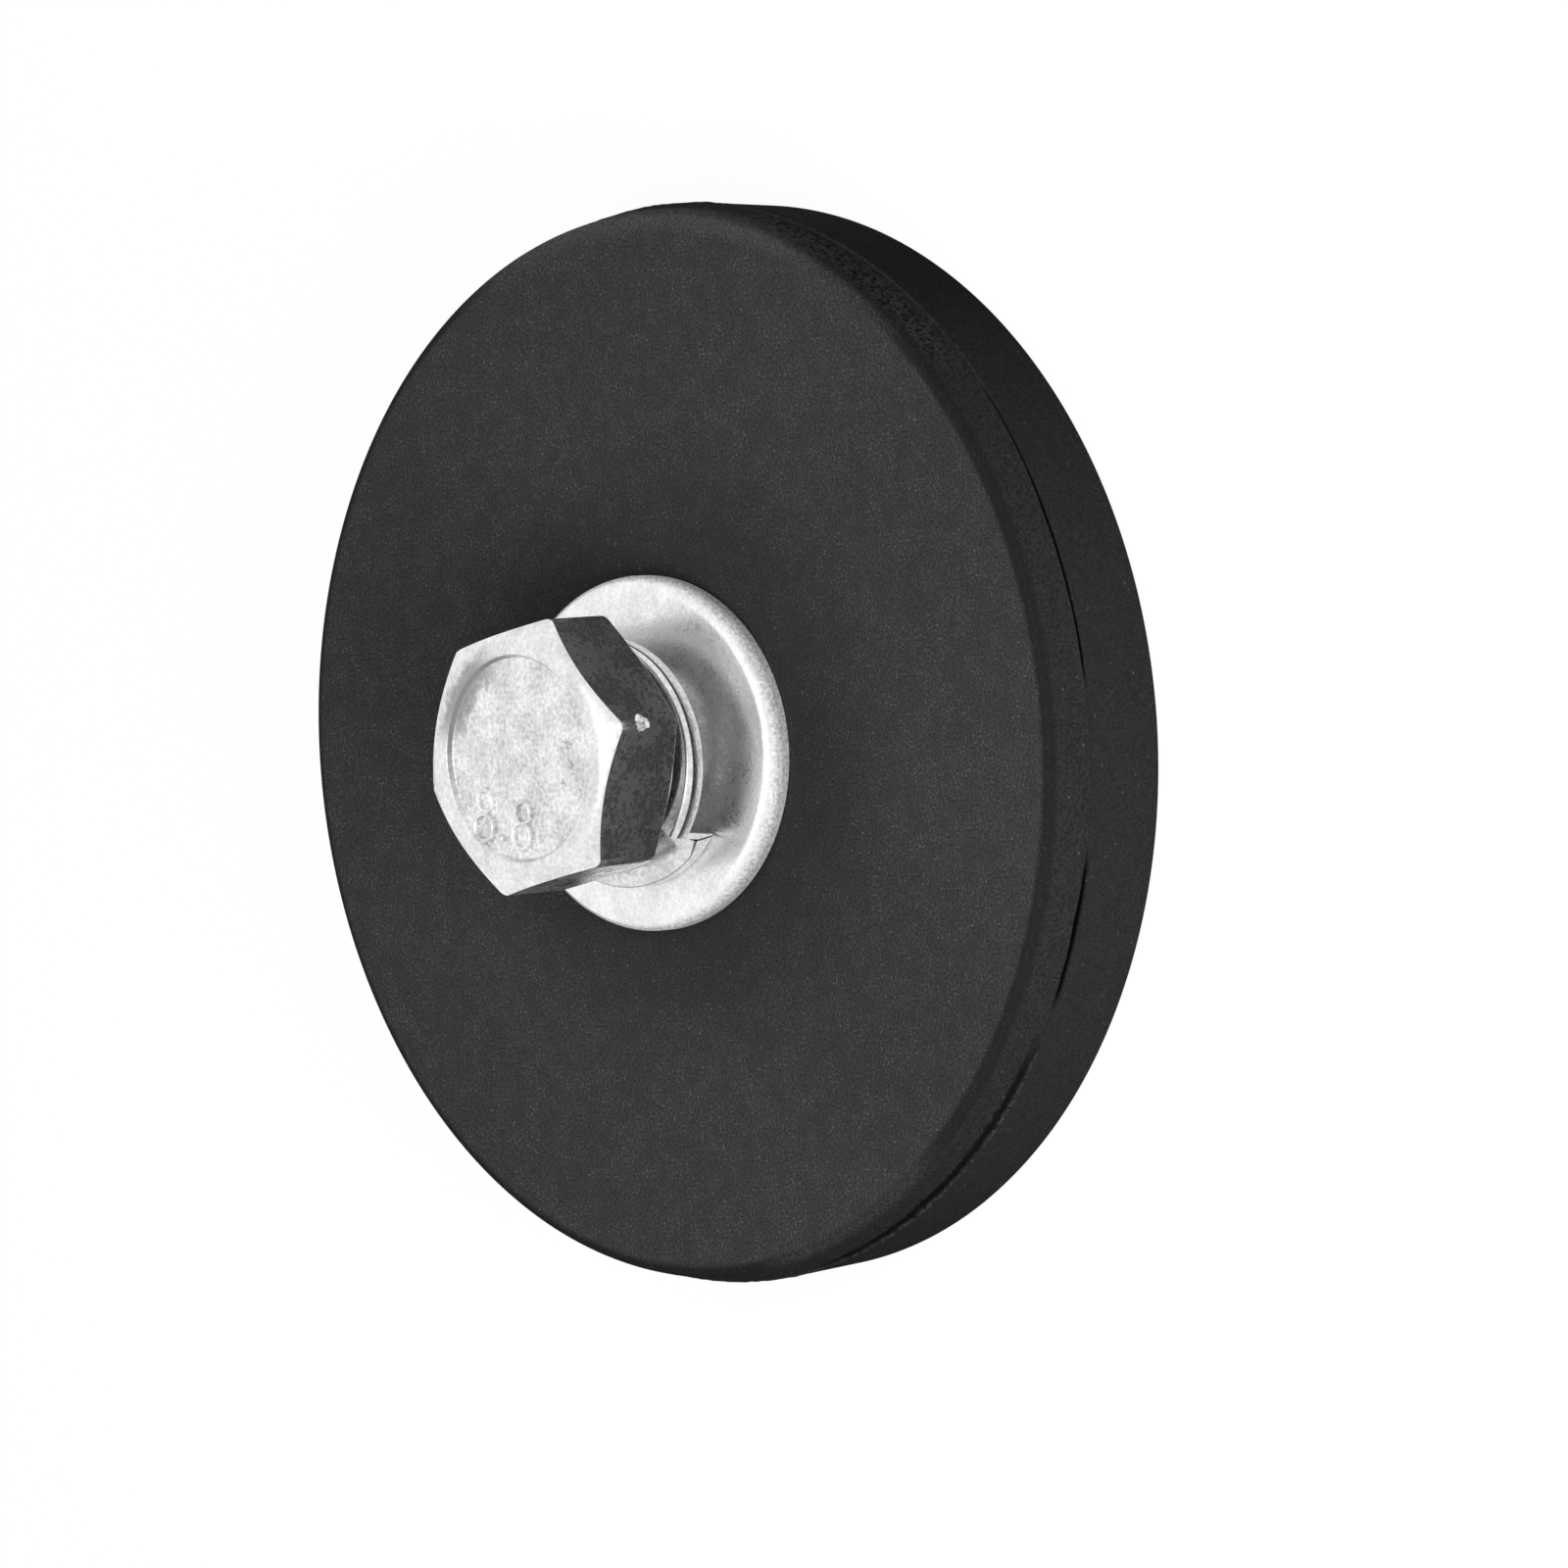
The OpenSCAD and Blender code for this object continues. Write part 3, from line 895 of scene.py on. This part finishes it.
# Painted highlight on the lips of the parting line.
lips = maths(tree, "MAXIMUM", arc(-38, 10, 20), arc(-146, 16, 22))
lips = maths(tree, "MULTIPLY", lips, ring(21.72, 4.03, 0.12, 0.12))
tone = tint(tree, maths(tree, "MULTIPLY", lips, crumb_and_glint_mask), tone, grey(0.075))
# Painted shade inside the slit where it gapes, and all along the groove.
wide_slit_shade = maths(tree, "MULTIPLY", ring(21.56, 4.13, 0.25, 0.03), arc(-112.5, 6, 9.5))
thin_slit_shade = maths(tree, "MULTIPLY", ring(21.6, 4.14, 0.15, 0.03), arc(-70, 14, 18))
tone = tint(tree, maths(tree, "MAXIMUM", wide_slit_shade, thin_slit_shade), tone, grey(0.002))
tone = tint(tree, ring(21.45, 4.15, 0.2, 0.04), tone, grey(0.003))
tree.links.new(tone, shader.inputs["Base Color"])
print(rubber.name, "has", len(tree.nodes), "nodes with its torn stretches")

# %% [markdown]
# Rubber as rough as this mirrors nothing, so its specular level is zero. The grain is also a bump,
# which is stronger on the face than on the rim.

# %% Relief of the rubber
tree.links.new(fade(tree, sandy.outputs[1], 0.3, 0.7, 0.68, 0.82), shader.inputs["Roughness"])
shader.inputs["Specular IOR Level"].default_value = 0.0
relief = maths(tree, "MULTIPLY", sandy.outputs[0], fade(tree, front, 0, 1, 0.35, 1.0))
bump = place(tree, "ShaderNodeBump", {"Strength": 0.7, "Distance": 0.035 * MM, "Height": relief})
tree.links.new(bump.outputs[0], shader.inputs["Normal"])
print(rubber.name, len(tree.nodes), "nodes")

# %% [markdown]
# ## Bright zinc
# Zinc plating is a bright, neutral metal. Punched and forged pieces show a sandy, mottled skin
# under it, with dull grey patches and small pits. One function makes the finish, so that each piece
# can have its own share of mottling and roughness.

# %% Zinc finishes
def zinc_finish(name, mottle_scale, dull, bright, gloss, sand_depth):
    """Zinc plate with mottling between a dull and a bright tone. Gloss is its roughness."""
    finish, tree, shader, where = new_finish(name)
    sand = use(tree, grain, Vector=where, Scale=mottle_scale)
    pits = use(tree, specks, Vector=where, Scale=mottle_scale * 0.5, Share=0.05).outputs[0]
    fine_part = maths(tree, "MULTIPLY", fade(tree, sand.outputs[0], 0.3, 0.7), 0.6)
    broad_part = maths(tree, "MULTIPLY", fade(tree, sand.outputs[1], 0.35, 0.65), 0.4)
    patches = maths(tree, "ADD", fine_part, broad_part)
    tone = tint(tree, patches, grey(dull), grey(bright))
    tone = tint(tree, maths(tree, "MULTIPLY", pits, 0.12), tone, grey(0.3))
    tree.links.new(tone, shader.inputs["Base Color"])
    shader.inputs["Metallic"].default_value = 1.0
    tree.links.new(fade(tree, patches, 0.2, 0.8, gloss + 0.12, gloss), shader.inputs["Roughness"])
    relief = maths(tree, "SUBTRACT", sand.outputs[0], maths(tree, "MULTIPLY", pits, 0.3))
    bump = place(
        tree, "ShaderNodeBump", {"Strength": 0.5, "Distance": sand_depth * MM, "Height": relief}
    )
    tree.links.new(bump.outputs[0], shader.inputs["Normal"])
    return finish


bolt_zinc = zinc_finish("bolt_zinc", 5600, 0.5, 1.0, 0.22, 0.016)
washer_zinc = zinc_finish("washer_zinc", 6500, 0.74, 1.0, 0.25, 0.016)
spring_zinc = zinc_finish("spring_zinc", 5200, 0.55, 0.86, 0.16, 0.005)
print("Zinc finishes:", bolt_zinc.name, washer_zinc.name, spring_zinc.name)

# %% [markdown]
# The punch has left the flat washer's rim rougher than its top, with a dull grey skin. The rim is
# found by its distance from the washer's own axis.

# %% Rough rim of the flat washer
tree = washer_zinc.node_tree
shader = tree.nodes["Principled BSDF"]
where = tree.nodes["Texture Coordinate"].outputs["Object"]
rim = fade(tree, axis_distance(tree, where, FLAT_SHIFT), 6.8 * MM, 7.05 * MM)
tone = shader.inputs["Base Color"].links[0].from_socket
gloss = shader.inputs["Roughness"].links[0].from_socket
skin = use(tree, grain, Vector=where, Scale=7500).outputs[0]
dulled = maths(tree, "MULTIPLY", rim, fade(tree, skin, 0.36, 0.62, 0.75, 0.15))
tone = tint(tree, dulled, tone, grey(0.35))
tree.links.new(tone, shader.inputs["Base Color"])
rougher = maths(tree, "ADD", gloss, maths(tree, "MULTIPLY", rim, 0.2))
tree.links.new(rougher, shader.inputs["Roughness"])
tree.links.new(fade(tree, rim, 0, 1, 1.0, 0.35), shader.inputs["Metallic"])
print(washer_zinc.name, "has a rough rim now:", len(tree.nodes), "nodes")

# %% [markdown]
# The head has marks of its own. Outside the recess the forging die has left it smoother, and its
# tone is paler there. The corner of the recess is darkened with painted shade on one side, grime
# smears the top next to it on that side, and a few chips have dark floors. They are laid over the
# mottled tone of the bolt's zinc.

# %% Marks on the head
GRIME_AND_SHADE_TURN = 47
CHIPS = ((0.47, -2.74, 0.2), (-0.38, -2.93, 0.17), (-1.12, -2.33, 0.14))

tree = bolt_zinc.node_tree
shader = tree.nodes["Principled BSDF"]
where = tree.nodes["Texture Coordinate"].outputs["Object"]
tone = shader.inputs["Base Color"].links[0].from_socket
axes = place(tree, "ShaderNodeSeparateXYZ", {0: where})
turn = maths(tree, "ARCTAN2", axes.outputs[1], axes.outputs[0])
off = maths(tree, "ABSOLUTE", maths(tree, "SUBTRACT", turn, math.radians(GRIME_AND_SHADE_TURN)))
painted_shade_side = fade(tree, off, math.radians(20), math.radians(75), 1.0, 0.1)
recess_edge = {"Radius": 4.05 * MM, "Height": (HEAD_TOP - 0.1) * MM}
corner = use(tree, edge, Vector=where, Reach=0.15 * MM, **recess_edge).outputs[0]
smear = use(tree, edge, Vector=where, Reach=0.9 * MM, Ragged=1.3 * MM, **recess_edge).outputs[0]
smear = maths(tree, "MULTIPLY", smear, fade(tree, off, math.radians(16), math.radians(36), 0.85, 0.0))
outside = fade(tree, axis_distance(tree, where), 3.95 * MM, 4.3 * MM, 0.0, 0.35)
tone = tint(tree, outside, tone, grey(0.86))
# Painted shade in the corner of the recess, on one side.
tone = tint(tree, maths(tree, "MULTIPLY", corner, painted_shade_side), tone, grey(0.2))
tone = tint(tree, smear, tone, grey(0.28))
ragged = place(tree, "ShaderNodeTexNoise", {0: where, 2: 9000, 3: 3, 4: 0.6}).outputs[0]
for across, along, size in CHIPS:
    spot = (across * MM, along * MM, RECESS_Z * MM)
    away = place(tree, "ShaderNodeVectorMath", {0: where, 1: spot}, operation="DISTANCE").outputs[1]
    reach = maths(tree, "MULTIPLY", fade(tree, ragged, 0.3, 0.7), size * 1.6 * MM)
    chip = maths(tree, "LESS_THAN", away, reach)
    tone = tint(tree, maths(tree, "MULTIPLY", chip, 0.6), tone, grey(0.22))
tree.links.new(tone, shader.inputs["Base Color"])
print(bolt_zinc.name, "has its marks now:", len(tree.nodes), "nodes")

# %% [markdown]
# ## Inner metal
# The plate, the bush and the magnets are closed in by the rubber, and their CAD shapes are right as
# they are. They only get finishes: bare steel and nickel plate, both with a fine grain.

# %% Steel and nickel finishes
def inner_finish(name, colour, roughness, grain_scale):
    """A bare or plated metal with fine grain in its tone and gloss."""
    finish, tree, shader, where = new_finish(name)
    skin = use(tree, grain, Vector=where, Scale=grain_scale)
    darker = tuple(0.75 * part for part in colour[:3]) + (1,)
    tone = tint(tree, fade(tree, skin.outputs[1], 0.3, 0.7), darker, colour)
    tree.links.new(tone, shader.inputs["Base Color"])
    shader.inputs["Metallic"].default_value = 1.0
    gloss = fade(tree, skin.outputs[0], 0.3, 0.7, roughness + 0.1, roughness)
    tree.links.new(gloss, shader.inputs["Roughness"])
    relief = {"Strength": 0.2, "Distance": 0.01 * MM, "Height": skin.outputs[0]}
    bump = place(tree, "ShaderNodeBump", relief)
    tree.links.new(bump.outputs[0], shader.inputs["Normal"])
    return finish


steel = inner_finish("turned_steel", (0.5, 0.49, 0.47, 1), 0.38, 3000)
nickel = inner_finish("nickel_plate", (0.68, 0.63, 0.56, 1), 0.2, 6000)
inner_nodes = {"back_plate": steel, "threaded_bush": steel}
inner_nodes.update({f"magnet_{i + 1}": nickel for i in range(MAGNETS)})
for name, finish in inner_nodes.items():
    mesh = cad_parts[name].data
    mesh.materials.clear()
    mesh.materials.append(finish)
print("Inner nodes finished:", len(inner_nodes))

# %% [markdown]
# ## Dress the pieces
# Each piece gets its finish, smooth shading up to a limit angle, and normals that are weighted by
# face area, so that broad flats stay flat next to small roundings.

# %% Finish each piece
def dress(piece, finish, node, limit):
    """Gives a piece its finish and shading, and its place in the model."""
    piece.data.materials.clear()
    piece.data.materials.append(finish)
    bpy.ops.object.select_all(action="DESELECT")
    piece.select_set(True)
    bpy.context.view_layer.objects.active = piece
    bpy.ops.object.shade_smooth_by_angle(angle=math.radians(limit))
    weighted = piece.modifiers.new("weighted", "WEIGHTED_NORMAL")
    weighted.keep_sharp = True
    weighted.weight = 100
    apply_modifier(piece, weighted)
    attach(piece, "root")
    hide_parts(node)
    low, high = Vector(piece.bound_box[0]) / MM, Vector(piece.bound_box[6]) / MM
    print(piece.name, "reaches from", [round(c, 2) for c in low], "to", [round(c, 2) for c in high])


dress(jacket, rubber, "rubber_jacket", 40)
dress(washer, washer_zinc, "flat_washer", 30)
dress(spring, spring_zinc, "spring_washer", 30)
dress(bolt, bolt_zinc, "hex_bolt", 22)

# %% [markdown]
# ## Floor, light and background
# The photograph is a studio shot on white. The floor is a plane that glows white for the camera and
# for mirrored rays, over a dim matte part that takes the soft shadow. From below it is clear and
# lets light through, so that the magnet face can be looked at too.

# %% Floor
bpy.ops.object.select_all(action="DESELECT")
bpy.ops.mesh.primitive_plane_add(size=6, location=(0, 0, -0.02 * MM))
floor = bpy.context.object
floor.name = "studio_floor"
paper = bpy.data.materials.new("white_paper")
paper.use_nodes = True
tree = paper.node_tree
tree.nodes.clear()
output = place(tree, "ShaderNodeOutputMaterial")
rays = place(tree, "ShaderNodeLightPath")
seen = maths(tree, "MAXIMUM", rays.outputs["Is Camera Ray"], rays.outputs["Is Glossy Ray"])
seen = maths(tree, "MAXIMUM", seen, rays.outputs["Is Transmission Ray"])
matte = place(tree, "ShaderNodeBsdfDiffuse", {"Color": grey(0.07)})
strength = maths(tree, "MULTIPLY", seen, 0.95)
glow = place(tree, "ShaderNodeEmission", {"Color": grey(1), "Strength": strength})
both = place(tree, "ShaderNodeAddShader", {0: matte.outputs[0], 1: glow.outputs[0]})
under = place(tree, "ShaderNodeNewGeometry").outputs["Backfacing"]
under = maths(tree, "MAXIMUM", under, rays.outputs["Is Shadow Ray"])
clear = place(tree, "ShaderNodeBsdfTransparent")
shown = place(tree, "ShaderNodeMixShader", {0: under, 1: both.outputs[0], 2: clear.outputs[0]})
tree.links.new(shown.outputs[0], output.inputs[0])
floor.data.materials.append(paper)
print("Floor at height", floor.location.z)

# %% [markdown]
# The world is white where it is seen or mirrored, and nearly dark as a light. Square lamps light the
# part: a key light over the camera's shoulder, a fill low in front, two more low at the side and
# behind, and one under the floor. The metal mirrors only the white room and a broad panel overhead.

# %% World and lamps
world = bpy.data.worlds.new("white_studio")
bpy.context.scene.world = world
world.use_nodes = True
tree = world.node_tree
rays = place(tree, "ShaderNodeLightPath")
seen = maths(tree, "MAXIMUM", rays.outputs["Is Camera Ray"], rays.outputs["Is Glossy Ray"])
seen = maths(tree, "MAXIMUM", seen, rays.outputs["Is Transmission Ray"])
sky = tree.nodes["Background"]
sky.inputs["Color"].default_value = grey(1)
tree.links.new(fade(tree, seen, 0, 1, 0.03, 1.0), sky.inputs["Strength"])


def soft_light(name, azimuth, elevation, distance, size, radiance, mirrored):
    """A square lamp that faces the part. A lamp of radiance 1 is as bright as white paper."""
    away = direction(math.radians(azimuth), math.radians(elevation))
    bpy.ops.object.light_add(
        type="AREA", location=away * distance, rotation=away.to_track_quat("Z", "Y").to_euler()
    )
    lamp = bpy.context.object
    lamp.name = name
    lamp.data.size = size
    lamp.data.energy = radiance * math.pi * size * size
    lamp.visible_glossy = mirrored
    print(name, "gives", round(lamp.data.energy, 2), "W")


soft_light("sheen_panel", -90, 86, 0.6, 0.4, 0.8, True)
soft_light("key_light", -103, 45, 0.18, 0.13, 4.4, False)
soft_light("front_fill", -108, 18, 0.22, 0.13, 4.2, False)
soft_light("side_fill", 50, 8, 0.3, 0.08, 38.0, False)
soft_light("back_fill", 118, 8, 0.3, 0.08, 24.0, False)
soft_light("under_fill", -90, -88, 0.3, 0.2, 6.0, False)
bpy.context.scene.view_settings.view_transform = "Standard"
